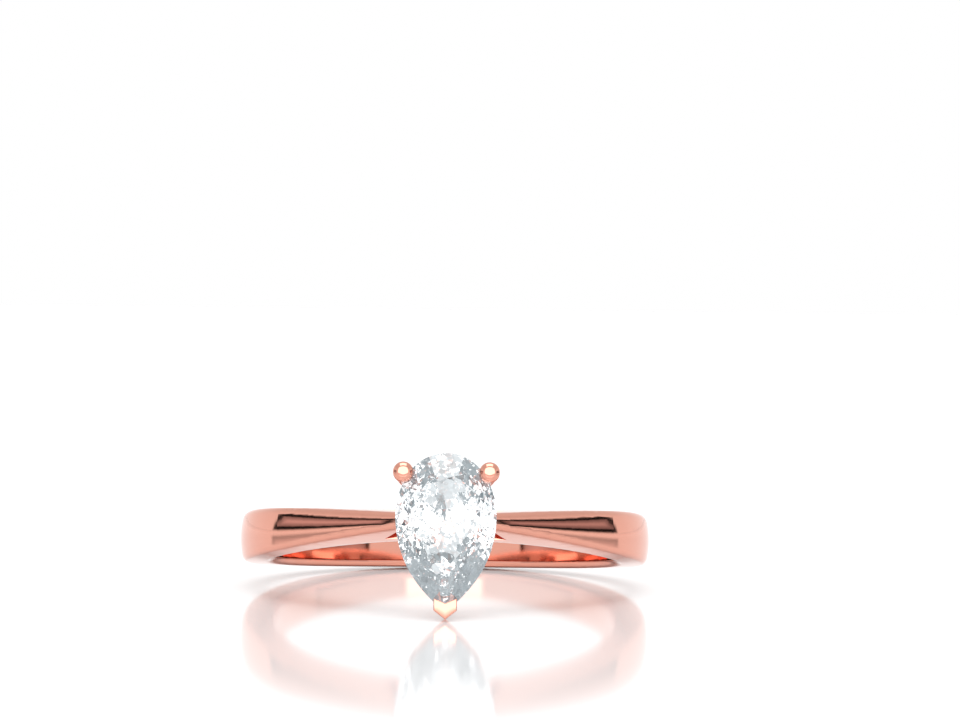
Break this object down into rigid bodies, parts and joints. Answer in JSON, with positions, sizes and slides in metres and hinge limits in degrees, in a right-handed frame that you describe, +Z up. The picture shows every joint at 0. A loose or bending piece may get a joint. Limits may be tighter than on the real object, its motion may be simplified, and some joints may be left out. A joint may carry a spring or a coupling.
{
  "type": "engagement ring",
  "caption": "Finger ring with a pear-cut clear stone held by claws above a polished tapered band with raised shoulders.",
  "frame": {"origin": "centre of the ring's footprint on the surface it lies on", "axes": "+Z up from that surface, +Y from the stone towards the back of the band, +X across the ring; the ring lies down with its finger axis leaned 9.9 degrees from +Z towards +Y"},
  "size_m": [0.0198, 0.0228, 0.0073],
  "materials": {
    "rose_gold": "mirror-polished rose gold",
    "diamond": "clear faceted diamond"
  },
  "bodies": {
    "root": {"shank": "rose_gold", "shoulder_left": "rose_gold", "shoulder_right": "rose_gold", "base_rail": "rose_gold", "seat_rail": "rose_gold", "claw_left": "rose_gold", "claw_right": "rose_gold", "v_claw": "rose_gold", "pear_diamond": "diamond"}
  },
  "joints": []
}
